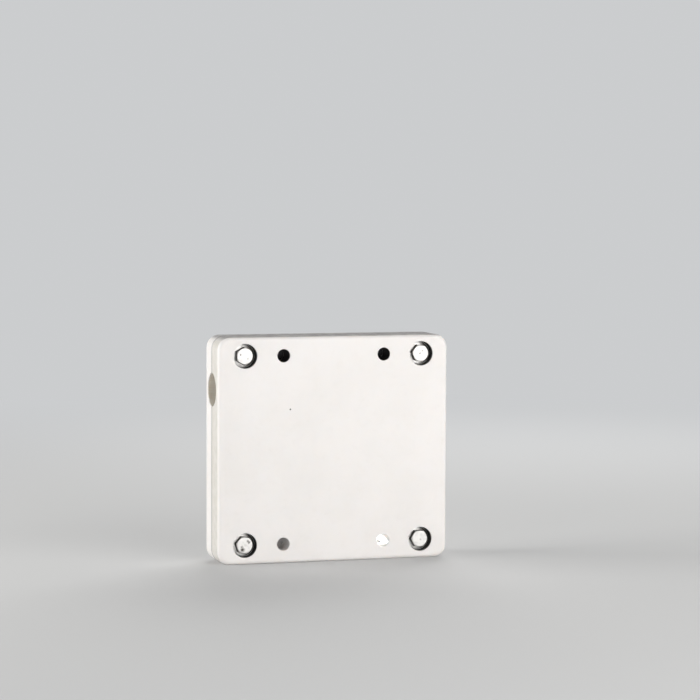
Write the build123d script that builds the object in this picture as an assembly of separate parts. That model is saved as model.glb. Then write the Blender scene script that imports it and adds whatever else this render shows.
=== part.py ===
"""Clamp-on outboard bracket: two plastic boards bolted face to face, grooved for a level and an upright bore.

Frame: millimetres, +Z up, +X to the right, and the front face, where the bolt heads are, looks along -Y.
The origin is where the axis of the level bore crosses the axis of the upright bore below it.
"""
from build123d import *
import math
import os

INCH = 25.4

# The two bores, each made by a half-round groove in either board, and how the boards close.
nominal_bore_diameter = 1.0 * INCH
bore_clearance = 0.05
clamp_gap = 0.8
bore_mouth_break = 0.7

# The two boards, cut from thick sheet.
board_width = 188.0
board_height = 178.0
board_thickness = 0.75 * INCH
board_corner_radius = 10.0
face_edge_round = 3.0
seam_edge_break = 0.4
level_bore_below_top = 42.0

# The four clamp bolts, one near each corner, and the four spare holes, one inboard of each bolt.
bolt_side_inset = 22.0
bolt_end_inset = 15.0
spare_hole_step = 31.0
spare_hole_diameter = 10.3
hole_edge_break = 0.4

# Hex bolt.
bolt_diameter = 5 / 16 * INCH
bolt_hole_clearance = 0.4
head_across_flats = 0.5 * INCH
head_height = 5.2
head_recess = 1.2
washer_face_height = 0.4
corner_chamfer_inset = 0.35
corner_chamfer_angle = 30.0
thread_tip_break = 0.9
thread_beyond_nut = 0.95

# Flat washers, one under each head and one under each nut.
washer_outer_diameter = 17.5
washer_thickness = 1.6
washer_bore_clearance = 0.4
washer_edge_break = 0.25
recess_side_clearance = 0.8

# Thin lock nut, with a nylon ring held in its round collar.
nut_across_flats = 0.5 * INCH
nut_hex_height = 4.7
nut_height = 6.7
nut_recess = 1.7
nut_bore_clearance = 0.05
nut_bore_break = 0.4
collar_diameter = 11.4
collar_wall = 0.55
collar_bevel = 0.5
lip_thickness = 0.5
lip_overlap = 0.3
ring_height = 1.3
ring_clearance = 0.02

# How far each head and nut happens to be turned clockwise, seen from the front,
# from a place with one corner pointing along X. In degrees.
head_turns = {"top_left": 30.0, "top_right": 8.0, "bottom_left": 12.0, "bottom_right": 2.0}
nut_turns = {"top_left": 5.0, "top_right": 22.0, "bottom_left": 41.0, "bottom_right": 14.0}

# Cutting tools run this far past the faces they open through.
overrun = 2.0

# Sizes and places that follow from the ones above.
bore_radius = nominal_bore_diameter / 2 + bore_clearance
top_z = level_bore_below_top
bottom_z = top_z - board_height
middle_z = (top_z + bottom_z) / 2
seam_y = clamp_gap / 2
face_y = seam_y + board_thickness
bolt_radius = bolt_diameter / 2
bolt_hole_radius = bolt_radius + bolt_hole_clearance
washer_bore_radius = bolt_radius + washer_bore_clearance
recess_radius = washer_outer_diameter / 2 + recess_side_clearance
head_recess_depth = washer_thickness + head_height + head_recess
nut_recess_depth = washer_thickness + nut_height + nut_recess
head_washer_y = -face_y + head_recess_depth
head_seat_y = head_washer_y - washer_thickness
nut_washer_y = face_y - nut_recess_depth
nut_seat_y = nut_washer_y + washer_thickness
bolt_length = nut_seat_y + nut_height + thread_beyond_nut - head_seat_y
ring_radius = collar_diameter / 2 - collar_wall
ring_top = nut_height - lip_thickness

corners = {
    "top_left": (-1, 1),
    "top_right": (1, 1),
    "bottom_left": (-1, -1),
    "bottom_right": (1, -1),
}


def hole_place(corner, side_inset):
    """X and Z of the hole near one corner, so far in from the board's side edge."""
    side, level = corners[corner]
    across = board_width / 2 - side_inset
    up = board_height / 2 - bolt_end_inset
    return side * across, middle_z + level * up


def turned(axis, *profile):
    """A solid of revolution from a closed profile drawn in the XY plane."""
    return revolve(make_face(Polyline(*profile, close=True)), axis)


def hexagon_bar(across_flats, length, turn):
    """A hexagonal bar from y = 0 to y = length."""
    section = RegularPolygon(across_flats / 2, 6, major_radius=False, rotation=-turn)
    return Pos(0, length, 0) * extrude(Plane.XZ * section, length)


def corner_drop(across_flats):
    """How much lower than the face the chamfer leaves a hexagon's corners."""
    corner_radius = across_flats / math.sqrt(3)
    flat_radius = across_flats / 2 - corner_chamfer_inset
    return (corner_radius - flat_radius) * math.tan(math.radians(corner_chamfer_angle))


def level_groove_tool():
    """The level bore, opened out to a small cone at both side edges."""
    half = board_width / 2
    mouth = bore_radius + bore_mouth_break
    return turned(
        Axis.X,
        (-half - overrun, 0),
        (-half - overrun, mouth + overrun),
        (-half + bore_mouth_break, bore_radius),
        (half - bore_mouth_break, bore_radius),
        (half + overrun, mouth + overrun),
        (half + overrun, 0),
    )


def upright_groove_tool():
    """The upright bore, from the bottom edge up to the level bore's axis, where the two meet."""
    mouth = bore_radius + bore_mouth_break
    upright = turned(
        Axis.Y,
        (0, bottom_z - overrun),
        (mouth + overrun, bottom_z - overrun),
        (bore_radius, bottom_z + bore_mouth_break),
        (bore_radius, 0),
        (0, 0),
    )
    return Rot(90, 0, 0) * upright


def bolt_hole_tool(recess_depth):
    """A clearance hole with a flat-floored recess sunk from the outer face at -Y."""
    floor_y = -face_y + recess_depth
    return turned(
        Axis.Y,
        (0, -face_y - overrun),
        (recess_radius + hole_edge_break + overrun, -face_y - overrun),
        (recess_radius, -face_y + hole_edge_break),
        (recess_radius, floor_y),
        (bolt_hole_radius, floor_y),
        (bolt_hole_radius, 0),
        (0, 0),
    )


def spare_hole_tool():
    """A plain through hole with its outer rim eased."""
    radius = spare_hole_diameter / 2
    return turned(
        Axis.Y,
        (0, -face_y - overrun),
        (radius + hole_edge_break + overrun, -face_y - overrun),
        (radius, -face_y + hole_edge_break),
        (radius, 0),
        (0, 0),
    )


def board(recess_depth):
    """One board, with its outer face at -Y and its seam face next to the origin."""
    outline = Pos(0, middle_z) * RectangleRounded(board_width, board_height, board_corner_radius)
    slab = extrude(Plane.XZ.offset(seam_y) * outline, board_thickness)
    slab = chamfer(slab.faces().sort_by(Axis.Y)[-1].edges(), seam_edge_break)
    slab = fillet(slab.faces().sort_by(Axis.Y)[0].edges(), face_edge_round)

    tools = [level_groove_tool() + upright_groove_tool()]
    for corner in corners:
        bolt_x, hole_z = hole_place(corner, bolt_side_inset)
        spare_x, _ = hole_place(corner, bolt_side_inset + spare_hole_step)
        tools.append(Pos(bolt_x, 0, hole_z) * bolt_hole_tool(recess_depth))
        tools.append(Pos(spare_x, 0, hole_z) * spare_hole_tool())
    return slab - tools


def bolt(turn):
    """A hex bolt, its head towards -Y and the underside of the head at y = 0."""
    corner_radius = head_across_flats / math.sqrt(3)
    flat_radius = head_across_flats / 2 - corner_chamfer_inset
    head_form = turned(
        Axis.Y,
        (0, -head_height),
        (flat_radius, -head_height),
        (corner_radius, -head_height + corner_drop(head_across_flats)),
        (corner_radius, -washer_face_height),
        (flat_radius, -washer_face_height),
        (flat_radius, 0),
        (0, 0),
    )
    head_bar = Pos(0, -head_height, 0) * hexagon_bar(head_across_flats, head_height, turn)
    shank = turned(
        Axis.Y,
        (0, 0),
        (bolt_radius, 0),
        (bolt_radius, bolt_length - thread_tip_break),
        (bolt_radius - thread_tip_break, bolt_length),
        (0, bolt_length),
    )
    return (head_form & head_bar) + shank


def washer():
    """A flat washer from y = 0 to its thickness, with its outer rim eased on both faces."""
    outer_radius = washer_outer_diameter / 2
    width = outer_radius - washer_bore_radius
    section = Pos(washer_bore_radius + width / 2, washer_thickness / 2) * Rectangle(width, washer_thickness)
    rim = section.vertices().group_by(Axis.X)[-1]
    return revolve(chamfer(rim, washer_edge_break), Axis.Y)


def lock_nut(turn):
    """A hex nut with its seat at y = 0 and its collar towards +Y."""
    corner_radius = nut_across_flats / math.sqrt(3)
    flat_radius = nut_across_flats / 2 - corner_chamfer_inset
    drop = corner_drop(nut_across_flats)
    hex_form = turned(
        Axis.Y,
        (0, 0),
        (flat_radius, 0),
        (corner_radius, drop),
        (corner_radius, nut_hex_height - drop),
        (flat_radius, nut_hex_height),
        (0, nut_hex_height),
    )
    hex_part = hex_form & hexagon_bar(nut_across_flats, nut_hex_height, turn)

    collar_radius = collar_diameter / 2
    collar = turned(
        Axis.Y,
        (0, 0),
        (collar_radius, 0),
        (collar_radius, nut_height - collar_bevel),
        (collar_radius - collar_bevel, nut_height),
        (0, nut_height),
    )

    bore = bolt_radius + nut_bore_clearance
    inside = turned(
        Axis.Y,
        (0, -overrun),
        (bore + nut_bore_break + overrun, -overrun),
        (bore, nut_bore_break),
        (bore, ring_top - ring_height),
        (ring_radius, ring_top - ring_height),
        (ring_radius, ring_top),
        (ring_radius - lip_overlap, ring_top),
        (ring_radius - lip_overlap, nut_height + overrun),
        (0, nut_height + overrun),
    )
    return hex_part + collar - inside


def nylon_ring():
    """The ring that grips the bolt, in the groove of the nut's collar."""
    inner, outer = bolt_radius + ring_clearance, ring_radius - ring_clearance
    low, high = ring_top - ring_height, ring_top
    return turned(Axis.Y, (inner, low), (outer, low), (outer, high), (inner, high))


def bracket():
    """Every piece of the bracket in its place, by name."""
    pieces = {
        "front_board": board(head_recess_depth),
        "back_board": Rot(0, 0, 180) * board(nut_recess_depth),
    }
    for corner in corners:
        x, z = hole_place(corner, bolt_side_inset)
        pieces["bolt_" + corner] = Pos(x, head_seat_y, z) * bolt(head_turns[corner])
        pieces["head_washer_" + corner] = Pos(x, head_seat_y, z) * washer()
        pieces["nut_washer_" + corner] = Pos(x, nut_washer_y, z) * washer()
        pieces["lock_nut_" + corner] = Pos(x, nut_seat_y, z) * lock_nut(nut_turns[corner])
        pieces["nylon_ring_" + corner] = Pos(x, nut_seat_y, z) * nylon_ring()
    return pieces


os.makedirs("parts", exist_ok=True)
for name, solid in bracket().items():
    solid.label = name
    export_step(solid, f"parts/{name}.step")
print(f"bolt length {bolt_length:.2f} mm, recess wall {bolt_hole_radius:.2f} to {recess_radius:.2f} mm")
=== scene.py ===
# %% [markdown]
# # A two-board clamp bracket, dressed for its picture
# The real bracket is two thick off-white polyethylene boards with half-round grooves in their hidden
# faces. Face to face, the grooves make a level bore and an upright bore under it, and four stainless
# bolts, sunk in the boards, draw the two together. The solids come from a CAD model that is already
# packed, so this script only adds what a CAD model doesn't have: worn plastic and dulled steel, rounded
# edges that catch light, screw threads, a studio and a camera.
#
# The first cell loads the solids and measures them. Every later place is worked out from those boxes,
# and not typed in a second time, so a dressed piece lands exactly where its solid was.

# %% Load the solids and measure them
import bpy, bmesh, math
from mathutils import Matrix, Vector


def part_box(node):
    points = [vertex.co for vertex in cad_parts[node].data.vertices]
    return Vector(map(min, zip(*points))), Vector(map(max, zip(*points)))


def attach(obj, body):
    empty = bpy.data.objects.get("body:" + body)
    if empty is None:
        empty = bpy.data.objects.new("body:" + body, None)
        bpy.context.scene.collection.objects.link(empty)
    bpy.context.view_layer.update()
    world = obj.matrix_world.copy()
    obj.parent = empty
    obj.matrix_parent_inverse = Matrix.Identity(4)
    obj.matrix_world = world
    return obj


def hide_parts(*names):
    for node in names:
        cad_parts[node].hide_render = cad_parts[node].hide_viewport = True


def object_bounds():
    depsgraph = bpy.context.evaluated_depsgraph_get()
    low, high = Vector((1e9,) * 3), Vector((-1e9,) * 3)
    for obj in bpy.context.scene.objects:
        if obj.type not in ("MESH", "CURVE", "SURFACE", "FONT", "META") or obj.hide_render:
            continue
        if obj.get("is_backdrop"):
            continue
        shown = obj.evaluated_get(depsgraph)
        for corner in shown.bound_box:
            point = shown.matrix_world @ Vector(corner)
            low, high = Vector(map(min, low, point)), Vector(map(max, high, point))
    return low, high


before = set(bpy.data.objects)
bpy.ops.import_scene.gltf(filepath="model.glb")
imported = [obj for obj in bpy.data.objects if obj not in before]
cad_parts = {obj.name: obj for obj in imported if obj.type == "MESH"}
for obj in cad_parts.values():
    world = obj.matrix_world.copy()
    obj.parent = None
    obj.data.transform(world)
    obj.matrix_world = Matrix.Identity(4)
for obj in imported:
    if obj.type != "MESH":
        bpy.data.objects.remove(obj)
cad_low, cad_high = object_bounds()
MM = 0.001
CORNERS = ("top_left", "top_right", "bottom_left", "bottom_right")


def middle(node):
    """The middle of a solid's box, in metres."""
    low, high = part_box(node)
    return (low + high) / 2


face_y = cad_high.y
middle_z = (cad_low.z + cad_high.z) / 2
bolt_place = {corner: middle("head_washer_" + corner) for corner in CORNERS}
bolt_x, bolt_up = bolt_place["top_right"].x, bolt_place["top_right"].z - middle_z
SPARE_HOLE_STEP = 31.0 * MM
spare_x = bolt_x - SPARE_HOLE_STEP
head_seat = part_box("head_washer_top_right")[0].y
nut_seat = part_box("lock_nut_top_right")[0].y
print(f"board {(cad_high.x - cad_low.x) / MM:.0f} by {(cad_high.z - cad_low.z) / MM:.0f} mm,",
      f"bolts {2 * bolt_x / MM:.0f} by {2 * bolt_up / MM:.0f} mm apart")

# %% [markdown]
# ## The camera
# The photograph was taken from far off with a long lens, a little to the left of the bracket and a little
# above it: the left side face shows as a thin band, and no edge runs together much. A camera could be
# placed by eye, but here the angles, the distance and the lens were fitted to the four bolt recesses,
# the corners and the mouth of the level bore, so the outlines fall where the photograph has them.
# Azimuth 0 looks at the front face, and negative angles stand to its left.

# %% Camera
def seen_from(azimuth, elevation, distance, centre):
    """The point at that distance from the centre, in the direction of those angles in degrees."""
    a, e = math.radians(azimuth), math.radians(elevation)
    direction = Vector((math.sin(a) * math.cos(e), -math.cos(a) * math.cos(e), math.sin(e)))
    return centre + distance * direction


def aimed(place, target, roll=0.0):
    """A matrix for a camera or a lamp that stands at one point and looks at another."""
    back = (place - target).normalized()
    right = Vector((0, 0, 1)).cross(back).normalized()
    up = back.cross(right)
    c, s = math.cos(math.radians(roll)), math.sin(math.radians(roll))
    matrix = Matrix((c * right + s * up, c * up - s * right, back)).transposed().to_4x4()
    matrix.translation = place
    return matrix


# The fitted view, with its angles in degrees.
CAMERA_AZIMUTH, CAMERA_ELEVATION, CAMERA_ROLL = -17.15, 3.86, 0.22
CAMERA_DISTANCE = 2.082
CAMERA_AIM = Vector((0.01895, 0.0, 0.02926))

scene = bpy.context.scene
camera_data = bpy.data.cameras.new("camera")
camera_data.lens, camera_data.sensor_width = 134.95, 36.0
camera_data.clip_start, camera_data.clip_end = 0.05, 60.0
camera = bpy.data.objects.new("camera", camera_data)
scene.collection.objects.link(camera)
camera_place = seen_from(CAMERA_AZIMUTH, CAMERA_ELEVATION, CAMERA_DISTANCE, CAMERA_AIM)
camera.matrix_world = aimed(camera_place, CAMERA_AIM, CAMERA_ROLL)
scene.camera = camera
print("camera at", [round(v, 3) for v in camera.location])

# %% [markdown]
# ## Wiring nodes from a script
# Materials and geometry trees are both made of nodes and links. Written out one call at a time they hide
# what they mean, so this small class adds a node, fills its inputs with numbers or with other nodes'
# outputs, and writes sums in a readable way. Shader and geometry trees share the same Math node, so one
# class serves both.

# %% Wiring
class Wiring:
    """Adds nodes to one tree and links them."""

    def __init__(self, tree):
        self.tree = tree

    def add(self, kind, inputs=None, **settings):
        """Adds a node. The inputs, by name or number, are values or other nodes' outputs."""
        node = self.tree.nodes.new(kind)
        for name, value in settings.items():
            setattr(node, name, value)
        for key, value in (inputs or {}).items():
            if isinstance(value, bpy.types.NodeSocket):
                self.tree.links.new(value, node.inputs[key])
            else:
                node.inputs[key].default_value = value
        return node

    def math(self, operation, *values):
        """One step of arithmetic, such as math("ADD", a, b)."""
        return self.add("ShaderNodeMath", dict(enumerate(values)), operation=operation).outputs[0]

    def ramp(self, value, start, end, low=0.0, high=1.0):
        """A smooth change from low to high while the value goes from start to end."""
        inputs = {0: value, 1: start, 2: end, 3: low, 4: high}
        return self.add("ShaderNodeMapRange", inputs, interpolation_type="SMOOTHSTEP").outputs[0]

    def product(self, *values):
        """All the values multiplied together."""
        total = values[0]
        for value in values[1:]:
            total = self.math("MULTIPLY", total, value)
        return total


print("a wiring helper for", bpy.app.version_string)

# %% [markdown]
# ## The studio
# A plain pale floor and soft light. In the photograph the face grows a little brighter to the right and
# downwards it hardly changes, so the main lamp is large, stands in front and to the right, and isn't high.
# A low, wide one in front of the bracket reaches down into the recesses and shines in the bolt heads. A
# lamp on the left lights the left side face, a narrow strip draws a bright line down the rounded edge
# between the two, and one lights the back. Fewer lamps would be simpler, but the edges would then have no
# shine to show that they are round. The last lamp is a spot with a beam as narrow as a spare hole. The
# lower right spare hole shines white in the photograph, so the spot stands behind that hole and lights
# nothing but its wall.
#
# The floor could end in a visible horizon. Instead its far part fades into the colour of the world, by
# its distance from the bracket, so the picture has one quiet background from every side.

# %% Floor, world and lamps
BACKGROUND = (0.600, 0.610, 0.620)
FLOOR_REACH = 25.0
FADE_FROM, FADE_TO = 0.35, 1.5
scene.view_settings.view_transform = "Standard"

floor_mesh = bpy.data.meshes.new("studio_floor")
floor_signs = [(-1, -1), (1, -1), (1, 1), (-1, 1)]
floor_corners = [(x * FLOOR_REACH, y * FLOOR_REACH, cad_low.z) for x, y in floor_signs]
floor_mesh.from_pydata(floor_corners, [], [(0, 1, 2, 3)])
floor = bpy.data.objects.new("studio_floor", floor_mesh)
scene.collection.objects.link(floor)

floor_paint = bpy.data.materials.new("pale_floor")
floor_paint.use_nodes = True
floor_paint.node_tree.nodes.clear()
w = Wiring(floor_paint.node_tree)
place = w.add("ShaderNodeTexCoord").outputs["Object"]
away = w.add("ShaderNodeVectorMath", {0: place}, operation="LENGTH").outputs["Value"]
matt = w.add("ShaderNodeBsdfPrincipled", {"Base Color": (0.66, 0.665, 0.67, 1), "Roughness": 0.9})
glow = w.add("ShaderNodeEmission", {"Color": (*BACKGROUND, 1)})
fading = w.ramp(away, FADE_FROM, FADE_TO)
blend = w.add("ShaderNodeMixShader", {0: fading, 1: matt.outputs[0], 2: glow.outputs[0]})
w.add("ShaderNodeOutputMaterial", {"Surface": blend.outputs[0]})
floor_mesh.materials.append(floor_paint)
floor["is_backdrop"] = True

world = bpy.data.worlds.new("studio")
world.use_nodes = True
world.node_tree.nodes.clear()
scene.world = world
w = Wiring(world.node_tree)
seen = w.add("ShaderNodeBackground", {"Color": (*BACKGROUND, 1), "Strength": 1.0})
felt = w.add("ShaderNodeBackground", {"Color": (0.95, 0.975, 1.0, 1), "Strength": 0.16})
direct = w.add("ShaderNodeLightPath").outputs["Is Camera Ray"]
mixed = w.add("ShaderNodeMixShader", {0: direct, 1: felt.outputs[0], 2: seen.outputs[0]})
w.add("ShaderNodeOutputWorld", {"Surface": mixed.outputs[0]})


def lamp_from(name, kind, azimuth, elevation, distance, target, watts, colour):
    """A lamp that looks at the target from the direction of those angles in degrees."""
    lamp_data = bpy.data.lights.new(name, kind)
    lamp_data.energy, lamp_data.color = watts, colour
    lamp = bpy.data.objects.new(name, lamp_data)
    scene.collection.objects.link(lamp)
    lamp.matrix_world = aimed(seen_from(azimuth, elevation, distance, target), target)
    return lamp


def softbox(name, azimuth, elevation, distance, size, watts, colour):
    """A flat lamp, so wide and so high, that looks at the middle of the bracket."""
    target = Vector((0, 0, middle_z))
    lamp = lamp_from(name, "AREA", azimuth, elevation, distance, target, watts, colour)
    lamp.data.shape, lamp.data.size, lamp.data.size_y = "RECTANGLE", size[0], size[1]
    lamp.visible_camera = False
    return lamp


lamps = [
    softbox("key_softbox", 30, 15, 1.4, (1.5, 1.3), 14.5, (1.0, 0.985, 0.96)),
    softbox("low_softbox", 12, 3, 1.5, (1.2, 0.3), 4.3, (1.0, 0.985, 0.97)),
    softbox("left_softbox", -98, 14, 1.3, (0.8, 1.0), 14.5, (1.0, 0.985, 0.955)),
    softbox("edge_strip", -42, 10, 1.4, (0.12, 0.9), 1.3, (1.0, 0.985, 0.97)),
    softbox("back_softbox", 150, 32, 1.6, (1.3, 1.0), 14.0, (1.0, 0.99, 0.97)),
]

BEAM_DEGREES = 2
hole_mouth = Vector((spare_x, face_y, middle_z - bolt_up))
hole_lamp = lamp_from("hole_lamp", "SPOT", -165, 8, 0.28, hole_mouth, 15.0, (1.0, 0.99, 0.97))
hole_lamp.data.spot_size, hole_lamp.data.shadow_soft_size = math.radians(BEAM_DEGREES), 0.5 * MM
lamps.append(hole_lamp)
print(len(lamps), "lamps,", sum(lamp.data.energy for lamp in lamps), "watts in all")

# %% [markdown]
# ## The boards
# Each real board was sawn from thick sheet, its outer edge rounded with a router and its seam edge only
# just broken. The CAD solids already have those forms, so nothing is modelled again. But a solid's mesh is
# loose triangles with a flat shine on each, and a rounded edge made of strips looks cut with a knife.
# So a copy is welded and shaded smooth. Plain smooth shading would bend the light on the big flat faces
# too. The Weighted Normal modifier cures that: at each corner the largest face decides the direction.

# %% Boards
def plain_mesh(holder, name):
    """What the holder's modifiers make, as a plain mesh, with the modifiers then taken off."""
    graph = bpy.context.evaluated_depsgraph_get()
    mesh = bpy.data.meshes.new_from_object(holder.evaluated_get(graph), depsgraph=graph)
    mesh.name = name
    holder.modifiers.clear()
    return mesh


def smooth_mesh(form, name, smooth_below):
    """A mesh from a finished bmesh, shaded smooth but for edges that turn more than these degrees."""
    for face in form.faces:
        face.smooth = True
    mesh = bpy.data.meshes.new(name)
    form.to_mesh(mesh)
    form.free()
    mesh.set_sharp_from_angle(angle=math.radians(smooth_below))
    return mesh


WELD_WITHIN = 0.002 * MM
DROP_BELOW = 0.001 * MM


def welded_copy(node, name):
    """A copy of a solid with its loose triangles joined and its small facets shaded as one curve."""
    form = bmesh.new()
    form.from_mesh(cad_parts[node].data)
    bmesh.ops.remove_doubles(form, verts=form.verts, dist=WELD_WITHIN)
    bmesh.ops.dissolve_degenerate(form, edges=form.edges, dist=DROP_BELOW)
    piece = bpy.data.objects.new(name, smooth_mesh(form, name, 35.0))
    scene.collection.objects.link(piece)
    weighted = piece.modifiers.new("weighted", "WEIGHTED_NORMAL")
    weighted.mode, weighted.keep_sharp, weighted.weight = "FACE_AREA", True, 100
    piece.data = plain_mesh(piece, name)
    return piece


boards = [welded_copy(node, node + "_sheet") for node in ("front_board", "back_board")]
for piece in boards:
    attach(piece, "root")
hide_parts("front_board")
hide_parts("back_board")
print("board faces", [len(piece.data.polygons) for piece in boards])

# %% [markdown]
# ## Turned pieces with six flats
# A bolt, a nut, a washer and a ring are all round about one axis, so each can be one outline, spun. The
# six flats of a head or a nut come on top of that, when they are pressed or milled. This helper works in
# the same order. It spins an outline of (radius, height) points, and where six flats are asked for it
# pulls each point in to the nearest flat. That leaves the curved line where a chamfer runs out on a flat,
# which every real nut has and a plain six-sided prism doesn't. A soft minimum in place of a hard one
# rounds each edge a little, so that it catches light as forged steel does.

# %% Turning
CORNER_SHARPNESS = 70.0
CHAMFER_EASE = 0.22


def soft_least(a, b, ease):
    """The smaller of two lengths, with the change from one to the other rounded over the ease."""
    near = max(ease - abs(a - b), 0.0) / ease
    return min(a, b) - near * near * ease / 4


def flats_reach(angle, across_flats):
    """How far a hexagon with slightly rounded corners reaches in one direction. One corner points at 0."""
    flat_angles = [math.radians(30 + 60 * k) for k in range(6)]
    total = sum(max(math.cos(angle - flat), 0.0) ** CORNER_SHARPNESS for flat in flat_angles)
    return across_flats / 2 / total ** (1 / CORNER_SHARPNESS)


def stepped(outline, step):
    """The outline with points added, so that no stretch is longer than the step."""
    points = [outline[0]]
    for (x0, y0), (x1, y1) in zip(outline, outline[1:]):
        pieces = max(1, math.ceil(math.hypot(x1 - x0, y1 - y0) / step))
        points += [(x0 + (x1 - x0) * k / pieces, y0 + (y1 - y0) * k / pieces) for k in range(1, pieces + 1)]
    return points


def eased(outline, radius, closed=False):
    """The outline with each corner cut to a small three-point curve."""
    result = []
    for index, corner in enumerate(outline):
        if not closed and index in (0, len(outline) - 1):
            result.append(corner)
            continue
        before, after = Vector(outline[index - 1]), Vector(outline[(index + 1) % len(outline)])
        here = Vector(corner)
        cut = min(radius, (before - here).length / 3, (after - here).length / 3)
        first = here + (before - here).normalized() * cut
        last = here + (after - here).normalized() * cut
        result += [tuple(first), tuple((first + last + 2 * here) / 4), tuple(last)]
    return result


def turned_blank(name, outline, columns=96, across_flats=None, closed=False):
    """A solid of revolution about local Z, in metres, from an outline in millimetres."""
    form = bmesh.new()
    rings = []
    for radius, height in outline:
        if radius < 1e-6:
            rings.append([form.verts.new((0, 0, height * MM))])
            continue
        ring = []
        for k in range(columns):
            angle = 2 * math.pi * k / columns
            reach_here = radius
            if across_flats:
                reach_here = soft_least(radius, flats_reach(angle, across_flats), CHAMFER_EASE)
            x, y = reach_here * math.cos(angle), reach_here * math.sin(angle)
            ring.append(form.verts.new((x * MM, y * MM, height * MM)))
        rings.append(ring)
    pairs = list(zip(rings, rings[1:])) + ([(rings[-1], rings[0])] if closed else [])
    for lower, upper in pairs:
        for k in range(columns):
            n = (k + 1) % columns
            corners = [lower[k % len(lower)], lower[n % len(lower)],
                       upper[n % len(upper)], upper[k % len(upper)]]
            form.faces.new(list(dict.fromkeys(corners)))
    bmesh.ops.recalc_face_normals(form, faces=form.faces)
    return bpy.data.objects.new(name, smooth_mesh(form, name, 40.0))


print("a hexagon 12.7 mm across its flats reaches", round(flats_reach(0.0, 12.7), 2), "mm at a corner")

# %% [markdown]
# ## Four of everything
# The bracket repeats one stack of hardware at its four corners: bolt, washer, washer, nut and ring. In a
# lathe shop that is one part number and a bag of copies, and Geometry Nodes can say just that. The tree
# below takes a handful of points, each with a "turn" stored on it, puts the same blank on every point and
# stands it along the bolt's line. Nobody lines up the flats of four bolts, so each point has a turn of
# its own. The tree ends by making the copies real and giving them their material, and what it made is
# then kept as one plain mesh.

# %% A tree that sets blanks on points
def new_tree(name, inputs):
    """The wiring and the input sockets of a new geometry tree. Its inputs are (name, kind) pairs."""
    tree = bpy.data.node_groups.new(name, "GeometryNodeTree")
    tree.interface.new_socket("Geometry", in_out="OUTPUT", socket_type="NodeSocketGeometry")
    for label, kind in (("Geometry", "Geometry"), *inputs):
        tree.interface.new_socket(label, in_out="INPUT", socket_type="NodeSocket" + kind)
    wiring = Wiring(tree)
    return wiring, wiring.add("NodeGroupInput").outputs


def stand_on_points(w, points, blank):
    """Copies of the blank on the points, with local Z along the bolt and turned as the points say."""
    stored = w.add("GeometryNodeInputNamedAttribute", {"Name": "turn"}, data_type="FLOAT")
    angles = {0: -math.pi / 2, 1: stored.outputs["Attribute"], 2: 0.0}
    euler = w.add("ShaderNodeCombineXYZ", angles).outputs[0]
    rotation = w.add("FunctionNodeEulerToRotation", {0: euler}).outputs[0]
    inputs = {"Points": points, "Instance": blank, "Rotation": rotation}
    return w.add("GeometryNodeInstanceOnPoints", inputs).outputs[0]


def end_tree(w, geometry, material):
    """Real copies, with their material, to the tree's output."""
    real = w.add("GeometryNodeRealizeInstances", {0: geometry}).outputs[0]
    painted = w.add("GeometryNodeSetMaterial", {"Geometry": real, "Material": material}).outputs[0]
    w.add("NodeGroupOutput", {0: painted})
    return w.tree


w, given = new_tree("blanks_on_points", [("Blank", "Object"), ("Material", "Material")])
blank = w.add("GeometryNodeObjectInfo", {"Object": given["Blank"]}).outputs["Geometry"]
blanks_on_points = end_tree(w, stand_on_points(w, given["Geometry"], blank), given["Material"])


def seats(name, places):
    """An object whose mesh is only points, one for each place, with the turn in degrees stored on it."""
    mesh = bpy.data.meshes.new(name)
    mesh.from_pydata([place for place, turn in places], [], [])
    turns = mesh.attributes.new("turn", "FLOAT", "POINT")
    turns.data.foreach_set("value", [math.radians(turn) for place, turn in places])
    holder = bpy.data.objects.new(name, mesh)
    scene.collection.objects.link(holder)
    return holder


def grown(holder, tree, values):
    """Gives the holder the tree with these values, and keeps what it grows as a plain mesh."""
    modifier = holder.modifiers.new("grow", "NODES")
    modifier.node_group = tree
    for item in tree.interface.items_tree:
        if item.in_out == "INPUT" and item.name in values:
            modifier[item.identifier] = values[item.name]
    holder.data = plain_mesh(holder, holder.name)
    return holder


print("tree", blanks_on_points.name, "has", len(blanks_on_points.nodes), "nodes")

# %% [markdown]
# ## The steel
# The bolts, nuts and washers are plain stainless steel, dulled by years outdoors. In the photograph the
# heads are almost white, because they mirror the big soft lamp, and a few grey marks break the shine. A
# single grey with one roughness would look like plastic foil. Here the shine is broken three ways: fine
# rings on the faces from the cold header, cloudy patches that are a little rougher, and a few marks on the
# heads, each put where the photograph has it. The flats are darkened, partly by a dull film and partly as
# painted shade. Painted shade also darkens the right side of each front washer and head chamfer, beside
# the recess wall, and painted light makes the left side of each front washer bright.
# All of it is worked out from the place on the object, in millimetres. The four stacks mirror each other,
# so the sizes of x and z fold the four into one, and one distance gives every ring.

# %% Folded places and other helpers for materials
def folded_place(w):
    """Place in millimetres, with the four corners folded onto one another."""
    place = w.add("ShaderNodeTexCoord").outputs["Object"]
    in_mm = w.add("ShaderNodeVectorMath", {0: place, "Scale": 1 / MM}, operation="SCALE").outputs[0]
    x, y, z = w.add("ShaderNodeSeparateXYZ", {0: in_mm}).outputs
    up = w.math("SUBTRACT", z, middle_z / MM)
    return {
        "place": in_mm, "x": x, "y": y, "z": z, "up": up,
        "across": w.math("ABSOLUTE", x),
        "level": w.math("ABSOLUTE", up),
        "depth": w.math("SUBTRACT", face_y / MM, w.math("ABSOLUTE", y)),
        "front": w.ramp(y, 1.0, -1.0),
    }


def distance_from(w, a, b, place_a=0.0, place_b=0.0):
    """How far a point is from an axis, from its two coordinates across that axis."""
    da, db = w.math("SUBTRACT", a, place_a), w.math("SUBTRACT", b, place_b)
    return w.math("SQRT", w.math("ADD", w.math("MULTIPLY", da, da), w.math("MULTIPLY", db, db)))


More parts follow.
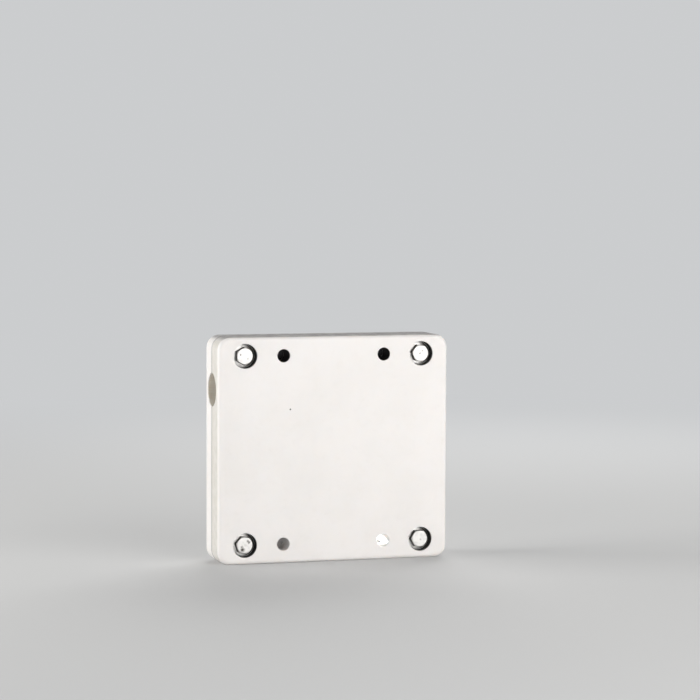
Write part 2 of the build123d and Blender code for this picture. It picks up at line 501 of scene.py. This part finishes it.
def scaled_place(w, place, factors):
    """The place with each coordinate multiplied, which stretches a pattern where the factor is small."""
    return w.add("ShaderNodeVectorMath", {0: place, 1: factors}, operation="MULTIPLY").outputs[0]


def noise(w, place, scale, detail=3.0):
    """Soft random values round 0.5, with so many lumps to the millimetre."""
    inputs = {"Vector": place, "Scale": scale, "Detail": detail, "Roughness": 0.55}
    return w.add("ShaderNodeTexNoise", inputs).outputs[0]


def mixed_colour(w, amount, a, b):
    """Colour a where the amount is 0 and b where it is 1."""
    node = w.add("ShaderNodeMix", data_type="RGBA")
    for key, value in ((0, amount), (6, a), (7, b)):
        if isinstance(value, bpy.types.NodeSocket):
            w.tree.links.new(value, node.inputs[key])
        else:
            node.inputs[key].default_value = (*value, 1) if key else value
    return node.outputs[2]


def new_paint(name):
    """An empty node material and its wiring."""
    paint = bpy.data.materials.new(name)
    paint.use_nodes = True
    paint.node_tree.nodes.clear()
    return paint, Wiring(paint.node_tree)


def bumped(w, *layers):
    """Adds up bump layers, each given as (height in 0 to 1, depth in millimetres)."""
    normal = None
    for height, depth in layers:
        inputs = {"Height": height, "Distance": depth * MM, "Strength": 1.0}
        if normal is not None:
            inputs["Normal"] = normal
        normal = w.add("ShaderNodeBump", inputs).outputs[0]
    return normal


print("each stack is", round(bolt_x / MM, 2), "mm across and", round(bolt_up / MM, 2), "mm up or down")

# %% Steel: its rings, its film, its marks, its painted shade and its painted light
RING_SPACING, RING_WOBBLE = 0.24, 0.06
stainless, w = new_paint("stainless_steel")
at = folded_place(w)
from_bolt = distance_from(w, at["across"], at["level"], bolt_x / MM, bolt_up / MM)
wobble = w.math("MULTIPLY", noise(w, at["place"], 0.9), RING_WOBBLE)
wavy_distance = w.math("ADD", from_bolt, wobble)
rings = w.math("SINE", w.math("MULTIPLY", wavy_distance, 2 * math.pi / RING_SPACING))
clouds = noise(w, at["place"], 0.42, detail=5.0)

seat_depth = w.ramp(at["front"], 0.0, 1.0, (face_y - nut_seat) / MM, (face_y + head_seat) / MM)
past_seat = w.math("SUBTRACT", at["depth"], seat_depth)
# The dark flats are partly a dull film on the steel and partly painted shade.
on_flats = w.product(w.ramp(at["depth"], 1.5, 2.1), w.ramp(past_seat, -0.02, -0.08))
less_behind = w.ramp(at["front"], 0.0, 1.0, 0.25, 0.90)
patches = w.ramp(noise(w, at["place"], 0.7, detail=6.0), 0.30, 0.50, 0.6, 1.0)
flats_film_and_shade = w.product(on_flats, less_behind, patches)

on_washer = w.product(at["front"], w.ramp(past_seat, -0.04, 0.0))
on_chamfer = w.product(at["front"], w.ramp(at["depth"], 1.24, 1.40))
rightward = w.product(w.math("SIGN", at["x"]), w.math("SUBTRACT", at["across"], bolt_x / MM))
# Painted shade: the right side of each front washer and head chamfer, beside the recess wall, is darkened
# in the colour.
washer_painted_shade = w.product(on_washer, w.ramp(rightward, -1.0, 4.5, 0.0, 0.93))
chamfer_painted_shade = w.product(on_chamfer, w.ramp(rightward, 3.0, 5.5, 0.0, 0.90))
right_painted_shade = w.math("MAXIMUM", washer_painted_shade, chamfer_painted_shade)
# Painted light: the left side of each front washer is made brighter in the colour.
left_painted_light = w.product(on_washer, w.ramp(rightward, 1.0, -4.0))

HEAD_MARKS = [  # corner, right and up of the bolt's axis, radius, how dark
    ("bottom_left", 2.5, 3.3, 1.30, 0.80),
    ("bottom_left", 3.4, 2.3, 1.30, 0.80),
    ("bottom_left", -1.8, -3.3, 2.00, 1.00),
    ("bottom_left", -2.4, -1.2, 1.20, 0.65),
    ("bottom_left", 0.4, 0.2, 1.50, 0.18),
    ("top_left", -3.4, 1.2, 1.00, 0.75),
    ("top_left", 2.4, -1.8, 0.90, 0.45),
    ("top_right", 1.4, 2.0, 1.10, 0.60),
    ("top_right", -0.5, 0.1, 1.20, 0.60),
    ("bottom_right", 0.6, -0.6, 1.10, 0.45),
]
RAGGEDNESS = 1.6
ragged = w.math("MULTIPLY", w.math("SUBTRACT", noise(w, at["place"], 0.9, detail=2.0), 0.5), RAGGEDNESS)
marks = 0.0
for corner, right, above, radius, darkness in HEAD_MARKS:
    x, z = bolt_place[corner].x / MM + right, bolt_place[corner].z / MM + above
    far = w.math("ADD", distance_from(w, at["x"], at["z"], x, z), ragged)
    marks = w.math("MAXIMUM", marks, w.ramp(far, 1.25 * radius, 0.2 * radius, 0.0, darkness))
marks = w.product(marks, at["front"], w.ramp(at["depth"], 2.2, 1.8))

bright = mixed_colour(w, w.ramp(clouds, 0.40, 0.72), (0.67, 0.66, 0.645), (0.60, 0.595, 0.585))
bright = mixed_colour(w, left_painted_light, bright, (0.92, 0.91, 0.89))
darkened = w.math("MAXIMUM", w.math("MAXIMUM", flats_film_and_shade, marks), right_painted_shade)
colour = mixed_colour(w, darkened, bright, (0.060, 0.054, 0.045))
rough = w.ramp(clouds, 0.35, 0.75, 0.46, 0.56)
surface = w.add("ShaderNodeBsdfPrincipled", {
    "Base Color": colour, "Metallic": 1.0, "Roughness": rough,
    "Normal": bumped(w, (rings, 0.0008), (noise(w, at["place"], 3.0, detail=2.0), 0.002)),
})
w.add("ShaderNodeOutputMaterial", {"Surface": surface.outputs[0]})
print("stainless has", len(stainless.node_tree.nodes), "nodes")

# %% [markdown]
# ## Bolts
# Each bolt is an 8 mm (5/16 inch) hex bolt with 18 threads to the inch. The head, its washer face and the
# plain shank are one turned blank with six flats. The thread is a ridge that climbs round a thinner core.
# It could be faked with a bump, but the tips stand in the open recesses at the back and their outline
# would stay smooth. So the ridge is real: a spiral curve with a small trapezoid drawn along it, which
# fades out at both ends as a rolled thread does.

# %% Bolt blank, in millimetres
HEAD_TURNS = {"top_left": 30.0, "top_right": 8.0, "bottom_left": 12.0, "bottom_right": 2.0}
bolt_low, bolt_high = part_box("bolt_top_right")
head_height = (head_seat - bolt_low.y) / MM
bolt_length = (bolt_high.y - head_seat) / MM
inch = 25.4
across_flats, bolt_radius = inch / 2, 7.94 / 2
pitch = inch / 18
thread_depth = 0.61 * pitch
core_radius = bolt_radius - thread_depth
chamfer_inset, chamfer_degrees = 0.35, 30
corner_radius = across_flats / math.sqrt(3)
face_radius = across_flats / 2 - chamfer_inset
drop = (corner_radius - face_radius) * math.tan(math.radians(chamfer_degrees))
washer_face, tip_break = 0.4, 0.35
thread_start, run_out = 9.0, 0.8
neck = 0.2
head_ease, shank_ease = 0.16, 0.12
flats_step = 0.5

head_outline = stepped(eased([
    (0.0, -head_height), (face_radius, -head_height), (corner_radius, -head_height + drop),
    (corner_radius, -washer_face), (face_radius, -washer_face), (face_radius, 0.0), (bolt_radius, 0.0),
], head_ease), flats_step)
shank_outline = eased([
    (bolt_radius, neck), (bolt_radius, thread_start - run_out), (core_radius, thread_start),
    (core_radius, bolt_length - tip_break), (core_radius - tip_break, bolt_length), (0.0, bolt_length),
], shank_ease)
bolt_blank = turned_blank("bolt_blank", head_outline + shank_outline, across_flats=across_flats)
print("bolt", round(bolt_length, 2), "mm under its head, blank of", len(bolt_blank.data.polygons), "faces")

# %% The thread's tree and the four bolts
w, given = new_tree("threaded_bolts", [
    ("Blank", "Object"), ("Material", "Material"), ("Core radius", "Float"), ("Ridge height", "Float"),
    ("Pitch", "Float"), ("Thread start", "Float"), ("Thread length", "Float")])
turns_made = w.math("DIVIDE", given["Thread length"], given["Pitch"])
spiral = w.add("GeometryNodeCurveSpiral", {
    "Resolution": 40, "Rotations": turns_made, "Start Radius": given["Core radius"],
    "End Radius": given["Core radius"], "Height": given["Thread length"]})
along = w.add("GeometryNodeSplineParameter").outputs["Length"]
from_tip = w.math("SUBTRACT", w.add("GeometryNodeSplineLength").outputs["Length"], along)
fade = w.math("MULTIPLY", w.ramp(along, 0.0, 0.010), w.ramp(from_tip, 0.0, 0.006, 0.35, 1.0))
upright = w.add("GeometryNodeSetCurveNormal", {0: spiral.outputs[0]}, mode="Z_UP").outputs[0]
section = w.add("GeometryNodeCurvePrimitiveQuadrilateral", {
    "Bottom Width": given["Pitch"], "Top Width": w.math("MULTIPLY", given["Pitch"], 0.14),
    "Height": w.math("MULTIPLY", given["Ridge height"], 2.0), "Offset": 0.0}, mode="TRAPEZOID")
ridge = w.add("GeometryNodeCurveToMesh", {
    "Curve": upright, "Profile Curve": section.outputs[0], "Scale": fade, "Fill Caps": True}).outputs[0]
lift = w.add("ShaderNodeCombineXYZ", {2: given["Thread start"]}).outputs[0]
raised = w.add("GeometryNodeTransform", {"Geometry": ridge, "Translation": lift}).outputs[0]
blank = w.add("GeometryNodeObjectInfo", {"Object": given["Blank"]}).outputs["Geometry"]
both = w.add("GeometryNodeJoinGeometry")
for part in (blank, raised):
    w.tree.links.new(part, both.inputs[0])
threaded_bolts = end_tree(w, stand_on_points(w, given["Geometry"], both.outputs[0]), given["Material"])

bolts = grown(
    seats("hex_bolts", [((bolt_place[c].x, head_seat, bolt_place[c].z), HEAD_TURNS[c]) for c in CORNERS]),
    threaded_bolts,
    {"Blank": bolt_blank, "Material": stainless, "Core radius": core_radius * MM,
     "Ridge height": (bolt_radius - core_radius) * MM, "Pitch": pitch * MM,
     "Thread start": (thread_start - 0.4) * MM, "Thread length": (bolt_length - thread_start + 0.1) * MM})
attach(bolts, "root")
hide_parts(*["bolt_" + c for c in CORNERS])
print(round((bolt_length - thread_start) / pitch, 1), "turns of thread,",
      len(bolts.data.polygons), "faces in four bolts")

# %% [markdown]
# ## Washers
# Eight stamped washers, one under each head and one under each nut. Bought washers are tumbled after the
# punch has cut them, so both rims and the bore are a little round. A cylinder with a hole cut in it would
# leave them sharp. One outline, eased at its four corners and spun, gives the whole washer.

# %% Washers
WASHER_TURNS = {"top_left": 20.0, "top_right": 75.0, "bottom_left": 140.0, "bottom_right": 205.0}
washer_low, washer_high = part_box("head_washer_top_right")
washer_thick = (washer_high.y - washer_low.y) / MM
washer_radius = (washer_high.x - washer_low.x) / MM / 2
washer_bore = bolt_radius + 0.4
rolled_rim = 0.25
washer_outline = eased([
    (washer_bore, 0.0), (washer_radius, 0.0), (washer_radius, washer_thick), (washer_bore, washer_thick),
], rolled_rim, closed=True)
washer_blank = turned_blank("washer_blank", washer_outline, columns=80, closed=True)
places = []
for corner in CORNERS:
    for stack in ("head_washer_", "nut_washer_"):
        low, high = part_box(stack + corner)
        places.append((((low.x + high.x) / 2, low.y, (low.z + high.z) / 2), WASHER_TURNS[corner]))
washers = grown(seats("flat_washers", places), blanks_on_points,
                {"Blank": washer_blank, "Material": stainless})
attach(washers, "root")
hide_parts(*[stack + c for stack in ("head_washer_", "nut_washer_") for c in CORNERS])
print(len(places), "washers,", round(2 * washer_radius, 1), "mm across")

# %% [markdown]
# ## Lock nuts and their rings
# A lock nut is a hex nut with a round collar, and a ring of nylon is rolled in under the collar's lip.
# The nut's outline runs once round its cut section: up the bore, out under the lip, over the collar, down
# the flats and back along the seat. The six flats only reach what sticks out past them, so the same
# helper leaves the collar and the bore round. The ring is a spun outline too, with its inner edge bulged a
# little where the bolt has pushed through.

# %% Lock nuts
NUT_TURNS = {"top_left": 5.0, "top_right": 22.0, "bottom_left": 41.0, "bottom_right": 14.0}
nut_low, nut_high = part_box("lock_nut_top_right")
ring_low, ring_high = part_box("nylon_ring_top_right")
nut_height = (nut_high.y - nut_low.y) / MM
ring_from, ring_to = (ring_low.y - nut_seat) / MM, (ring_high.y - nut_seat) / MM
ring_radius = (ring_high.x - ring_low.x) / MM / 2
hex_height, collar_radius, collar_bevel = 4.7, 11.4 / 2, 0.5
bore, bore_mouth = bolt_radius + 0.05, bolt_radius + 0.45
lip, groove = ring_radius - 0.28, ring_radius + 0.02
foot_width, foot_low, foot_high = 0.12, 0.05, 0.3
nut_ease, ring_ease = 0.14, 0.15
nut_outline = stepped(eased([
    (bore_mouth, 0.0), (face_radius, 0.0), (corner_radius, drop), (corner_radius, hex_height - drop),
    (face_radius, hex_height), (collar_radius + foot_width, hex_height + foot_low),
    (collar_radius, hex_height + foot_high),
    (collar_radius, nut_height - collar_bevel), (collar_radius - collar_bevel, nut_height),
    (lip, nut_height), (lip, ring_to), (groove, ring_to), (groove, ring_from),
    (bore, ring_from), (bore, 0.4),
], nut_ease, closed=True), flats_step)
nut_blank = turned_blank("nut_blank", nut_outline, across_flats=across_flats, closed=True)
nut_places = [((bolt_place[c].x, nut_seat, bolt_place[c].z), NUT_TURNS[c]) for c in CORNERS]
nuts = grown(seats("lock_nuts", nut_places), blanks_on_points, {"Blank": nut_blank, "Material": stainless})
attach(nuts, "root")
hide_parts(*["lock_nut_" + c for c in CORNERS])
print("nuts have", len(nuts.data.polygons), "faces")

# %% Nylon rings
nylon, w = new_paint("natural_nylon")
at = folded_place(w)
yellowed = w.ramp(noise(w, at["place"], 0.8), 0.35, 0.65)
tone = mixed_colour(w, yellowed, (0.86, 0.87, 0.86), (0.76, 0.77, 0.75))
surface = w.add("ShaderNodeBsdfPrincipled", {
    "Base Color": tone, "IOR": 1.53,
    "Roughness": w.ramp(noise(w, at["place"], 2.2), 0.3, 0.7, 0.30, 0.45),
    "Subsurface Weight": 0.25, "Subsurface Radius": (1.0, 1.0, 1.0), "Subsurface Scale": 0.6 * MM,
    "Normal": bumped(w, (noise(w, at["place"], 4.0), 0.01))})
w.add("ShaderNodeOutputMaterial", {"Surface": surface.outputs[0]})

ring_bore, bulge_foot, bulge_height = bolt_radius + 0.02, bolt_radius + 0.5, 0.22
ring_outline = eased([
    (ring_bore, ring_from), (ring_radius, ring_from), (ring_radius, ring_to),
    (bulge_foot, ring_to), (ring_bore, ring_to + bulge_height),
], ring_ease, closed=True)
ring_blank = turned_blank("ring_blank", ring_outline, columns=72, closed=True)
nylon_rings = grown(seats("nylon_rings", nut_places), blanks_on_points,
                    {"Blank": ring_blank, "Material": nylon})
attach(nylon_rings, "root")
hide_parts(*["nylon_ring_" + c for c in CORNERS])
print("rings have", len(nylon_rings.data.polygons), "faces")

# %% [markdown]
# ## The polyethylene: where things are
# Marine board is off-white polyethylene, and each board is sawn, routed, bored and spotfaced from it. Each
# of those cuts wears in its own way, so the paint has to know where they are. They could be painted on a
# picture by hand, but then the picture would be needed wherever the bracket goes. Here each is a mask
# worked out from the place on the board, so it stays put from every side. All masks are in millimetres,
# and each changes just past the form's own radius. The distance past a line 10 mm inside the outline finds
# the edges, also round the four corners.

# %% Polyethylene: where things are
CORNER_RADIUS, RECESS_RADIUS, SPARE_RADIUS, BORE_RADIUS = 10.0, 9.55, 5.15, 12.75
board_x, board_up = cad_high.x / MM, (cad_high.z - cad_low.z) / 2 / MM
polyethylene, w = new_paint("off_white_polyethylene")
at = folded_place(w)
from_bolt = distance_from(w, at["across"], at["level"], bolt_x / MM, bolt_up / MM)
from_spare = distance_from(w, at["across"], at["level"], spare_x / MM, bolt_up / MM)
from_level_bore = distance_from(w, at["y"], at["z"])
from_upright_bore = distance_from(w, at["x"], at["y"])
past_side = w.math("MAXIMUM", w.math("SUBTRACT", at["across"], board_x - CORNER_RADIUS), 0.0)
past_end = w.math("MAXIMUM", w.math("SUBTRACT", at["level"], board_up - CORNER_RADIUS), 0.0)
past_line = distance_from(w, past_side, past_end)

cut_edge = w.ramp(past_line, CORNER_RADIUS - 0.35, CORNER_RADIUS - 0.05)
face_side = w.ramp(past_line, CORNER_RADIUS - 0.05, CORNER_RADIUS - 0.35)
rounding = w.product(w.ramp(past_line, CORNER_RADIUS - 2.9, CORNER_RADIUS - 2.2), face_side)
inside = w.ramp(at["depth"], 0.35, 1.1)
in_recess = w.product(inside, w.ramp(from_bolt, RECESS_RADIUS + 0.20, RECESS_RADIUS + 0.07))
recess_wall = w.product(in_recess, w.ramp(from_bolt, RECESS_RADIUS - 0.15, RECESS_RADIUS - 0.05))
in_spare = w.product(inside, w.ramp(from_spare, SPARE_RADIUS + 0.20, SPARE_RADIUS + 0.07))
in_level_bore = w.ramp(from_level_bore, BORE_RADIUS + 0.20, BORE_RADIUS + 0.05)
near_upright_bore = w.ramp(from_upright_bore, BORE_RADIUS + 0.20, BORE_RADIUS + 0.05)
in_upright_bore = w.product(w.ramp(at["z"], -5.0, -9.0), near_upright_bore)
in_bore = w.math("MAXIMUM", in_level_bore, in_upright_bore)
by_bore = w.ramp(from_level_bore, BORE_RADIUS + 0.95, BORE_RADIUS + 0.55)
bore_rim = w.product(by_bore, w.ramp(at["across"], board_x - 1.1, board_x - 0.4))
print("edges, recesses, spare holes and bores each have a mask")

# %% [markdown]
# ## The polyethylene: its colour, its dirt and its painted shade
# The sheet is off-white, a little warmer in large soft patches. Cut plastic holds dirt that the skin
# sheds. The photograph shows the walls of the front recesses and the upper two spare holes nearly black,
# the lower left one grey, and the lower right one white. Here those walls get painted shade, near black in
# the front recesses and upper holes and a little in the lower left one, and the lower right one gets
# painted light, whiter than the sheet. The mouth of the level bore is rubbed and cream, with a brown
# painted shadow round it, and the upward edges of the boards are darker. One colour for all of it would be
# simpler, but it would look sprayed on. So each layer below has its own mask, noise and colour, and is laid
# over the last.

# %% Polyethylene: its colour
blotch = noise(w, at["place"], 0.022, detail=4.0)
mottle = noise(w, at["place"], 0.16, detail=5.0)
stretched = scaled_place(w, at["place"], (0.12, 1.0, 1.0))
rubs = noise(w, stretched, 0.55, detail=4.0)
sheet = mixed_colour(w, w.ramp(blotch, 0.35, 0.65), (0.875, 0.849, 0.835), (0.852, 0.826, 0.808))
sheet = mixed_colour(w, w.product(w.ramp(mottle, 0.5, 0.8), 0.22), sheet, (0.79, 0.76, 0.73))
left_side = w.ramp(at["x"], 5.0 - board_x, 1.0 - board_x, 0.30, 1.0)
dulled = w.product(cut_edge, at["front"], left_side, w.ramp(mottle, 0.3, 0.7, 0.60, 0.85))
sheet = mixed_colour(w, dulled, sheet, (0.62, 0.60, 0.55))
rubbed = mixed_colour(w, w.ramp(rubs, 0.40, 0.75), (0.86, 0.82, 0.73), (0.78, 0.72, 0.62))
top_row = w.ramp(at["up"], -1.0, 1.0)
left_half = w.ramp(at["x"], 1.0, -1.0)
# Painted light: the wall of the lower right spare hole is whiter than the sheet itself.
painted_light_hole = w.product(in_spare, w.math("SUBTRACT", 1.0, w.math("MAXIMUM", top_row, left_half)))
print("the sheet's own colour has", len(polyethylene.node_tree.nodes), "nodes")

# %% Polyethylene: its dirt, its painted shade and its painted light
# The upward edges of the boards are darker.
on_top = w.product(w.ramp(past_line, CORNER_RADIUS - 0.80, CORNER_RADIUS - 0.05),
                   w.ramp(at["up"], board_up - 3.5, board_up - 0.2))
darker_top_edges = w.product(on_top, w.ramp(noise(w, at["place"], 0.13, detail=5.0), 0.30, 0.70, 0.66, 0.86))
sheet = mixed_colour(w, darker_top_edges, sheet, (0.165, 0.158, 0.160))
sheet = mixed_colour(w, w.product(in_bore, 0.85), sheet, rubbed)
# Painted shadow: a brown ring round the mouth of the level bore.
bore_rim_painted_shadow = w.product(bore_rim, w.ramp(mottle, 0.35, 0.75), 0.35)
sheet = mixed_colour(w, bore_rim_painted_shadow, sheet, (0.26, 0.21, 0.15))
sheet = mixed_colour(w, painted_light_hole, sheet, (0.97, 0.965, 0.955))

# Painted shade: the walls of the front recesses go near black, the back ones only a little.
recess_painted_shade = w.product(recess_wall, w.ramp(at["front"], 0.0, 1.0, 0.08, 0.95))
# Painted shade: the walls of the upper two spare holes go near black, the lower left one a little.
shaded_hole_rows = w.math("MAXIMUM", top_row, w.product(left_half, 0.05))
spare_hole_painted_shade = w.product(in_spare, shaded_hole_rows, w.ramp(at["y"], 18.0, 12.0, 0.6, 1.0))
seam_grime = w.product(w.ramp(at["depth"], 17.5, 18.9), cut_edge, 0.60)
# Near black, both for the painted shade in recesses and spare holes and for grime along the seam.
shade_and_seam_grime = w.math("MAXIMUM", w.math("MAXIMUM", recess_painted_shade, spare_hole_painted_shade), seam_grime)
sheet = mixed_colour(w, shade_and_seam_grime, sheet, (0.016, 0.014, 0.015))

SPECK_PLACE = (-35.6, -15.1)
speck_disc = w.ramp(distance_from(w, at["x"], at["z"], *SPECK_PLACE), 0.80, 0.50)
speck = w.product(speck_disc, w.ramp(at["y"], -19.0, -19.3))
sheet = mixed_colour(w, speck, sheet, (0.05, 0.045, 0.05))
print("the speck is", SPECK_PLACE, "mm from the crossing of the bores")

# %% [markdown]
# ## The polyethylene: its skin
# The sheet comes from the press with a dull, faintly pebbled skin. The router leaves fine lines across the
# edges, the spotfacing cutter leaves rings on the floor of each recess, and knocks leave nicks along the
# rounded edge. Forms as fine as these, under a tenth of a millimetre, would take millions of faces, so
# they are bumps in the shading. The masks of the painted shade, the seam grime and the darker top edges
# roughen the shine too.

# %% Polyethylene: its skin
CUTTER_STEP = 0.35
pebble = noise(w, at["place"], 0.85, detail=2.0)
along_thickness = scaled_place(w, at["place"], (1.0, 0.04, 1.0))
router_lines = w.product(noise(w, along_thickness, 1.7), cut_edge)
floor_rings = w.product(w.math("SINE", w.math("MULTIPLY", from_bolt, 2 * math.pi / CUTTER_STEP)), in_recess)
nicks = w.product(w.ramp(noise(w, at["place"], 0.45, detail=2.0), 0.60, 0.78), rounding)
rough = w.ramp(mottle, 0.3, 0.7, 0.40, 0.50)
for where, change in ((cut_edge, 0.10), (rounding, -0.12), (shade_and_seam_grime, 0.30), (darker_top_edges, 0.40)):
    rough = w.math("ADD", rough, w.math("MULTIPLY", where, change))
surface = w.add("ShaderNodeBsdfPrincipled", {
    "Base Color": sheet, "Roughness": rough, "IOR": 1.52,
    "Subsurface Weight": 0.35, "Subsurface Radius": (1.0, 0.9, 0.8), "Subsurface Scale": 3.0 * MM,
    "Normal": bumped(w, (pebble, 0.030), (router_lines, 0.05), (floor_rings, 0.01), (nicks, -0.06))})
w.add("ShaderNodeOutputMaterial", {"Surface": surface.outputs[0]})
for piece in boards:
    piece.data.materials.clear()
    piece.data.materials.append(polyethylene)
print("polyethylene has", len(polyethylene.node_tree.nodes), "nodes")

# %% [markdown]
# ## Last look
# The dressed bracket has to be the same size as its solids, so how far it has grown past their box on each
# side is printed last.

# %% Sizes and the end
low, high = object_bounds()
print("grown by", [round(1000 * v, 3) for v in (*(cad_low - low), *(high - cad_high))], "mm")
